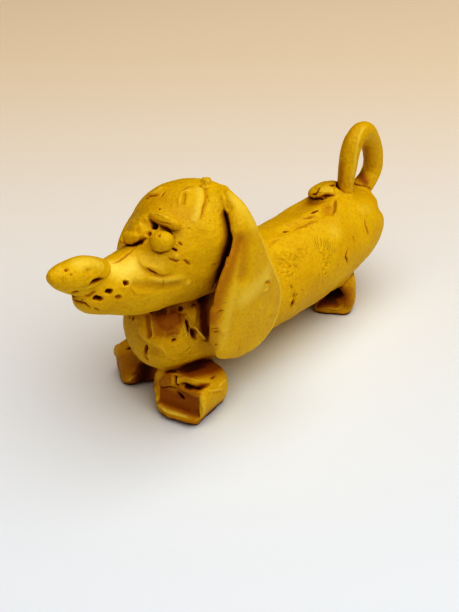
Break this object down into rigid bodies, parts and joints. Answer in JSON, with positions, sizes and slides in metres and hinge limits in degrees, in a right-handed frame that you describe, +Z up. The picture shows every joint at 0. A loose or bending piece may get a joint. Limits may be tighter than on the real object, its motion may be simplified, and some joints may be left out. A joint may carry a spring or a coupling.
{
  "type": "plasticine dog figure",
  "caption": "Hand-modelled plasticine dachshund: rolled body, ball head with long snout, flat hanging ears, pinched feet and a tail curled into a loop. Stands on its own.",
  "frame": {"origin": "on the table, under the middle of the figure's bounding box", "axes": "+Z up, the dog looks along -Y, its left side is +X, the tail is at +Y"},
  "size_m": [0.026, 0.082, 0.0386],
  "materials": {
    "plasticine": "mustard-yellow plasticine, matt with a soft waxy sheen, kneaded by hand"
  },
  "bodies": {
    "root": {"body": "plasticine", "head": "plasticine", "nose": "plasticine", "left_eye": "plasticine", "right_eye": "plasticine", "left_brow": "plasticine", "right_brow": "plasticine", "left_ear": "plasticine", "right_ear": "plasticine", "front_left_foot": "plasticine", "front_right_foot": "plasticine", "rear_left_foot": "plasticine", "rear_right_foot": "plasticine", "tail": "plasticine", "back_scrap": "plasticine"}
  },
  "joints": []
}
